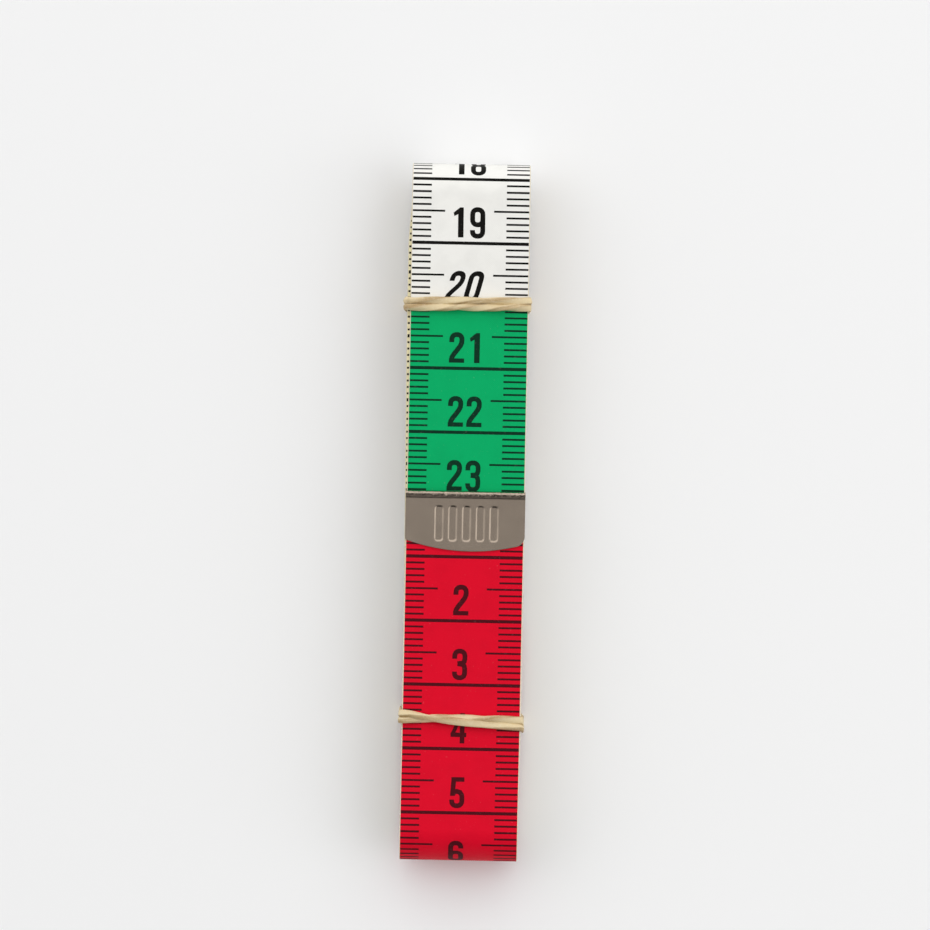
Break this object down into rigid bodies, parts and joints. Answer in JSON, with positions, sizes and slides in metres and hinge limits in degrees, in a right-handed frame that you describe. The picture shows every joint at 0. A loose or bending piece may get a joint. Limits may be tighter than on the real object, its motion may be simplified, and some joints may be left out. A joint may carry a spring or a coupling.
{
  "type": "cloth tape measure",
  "caption": "Sewing tape measure wound flat: printed coloured strip with metal end tips, held by two doubled rubber bands, with a free end that lifts.",
  "frame": {"origin": "middle of the bounding box's underside, on the surface that the back of the winding lies on", "axes": "+X across the tape to the right as its numbers are read, +Y along the winding towards its head, +Z out of the front with the zero end"},
  "size_m": [0.0222, 0.1092, 0.0147],
  "materials": {
    "tape_cloth": "satin coated weave, ground colour changes every 10 cm: red, white, green, blue, yellow",
    "tip_metal": "nickel plated, polished",
    "band_rubber": "natural rubber, slightly glossy"
  },
  "bodies": {
    "winding": {"tape_winding": "tape_cloth", "inner_end_tip": "tip_metal"},
    "free_end": {"tape_free_end": "tape_cloth", "outer_end_tip": "tip_metal"},
    "upper_band": {"upper_rubber_band": "band_rubber"},
    "lower_band": {"lower_rubber_band": "band_rubber"}
  },
  "joints": [
    {"name": "free_end_lift", "type": "hinge", "parent": "winding", "child": "free_end", "pos_m": [0, -0.03014, 0.01142], "axis": [1, 0, 0], "range_deg": [0, 105], "stiffness_Nm_per_rad": 0.0005},
    {"name": "upper_band_slide", "type": "slide", "parent": "winding", "child": "upper_band", "axis": [0, 1, 0], "range_m": [-0.027, 0.016]},
    {"name": "lower_band_slide", "type": "slide", "parent": "winding", "child": "lower_band", "axis": [0, -1, 0], "range_m": [0, 0.016]}
  ]
}
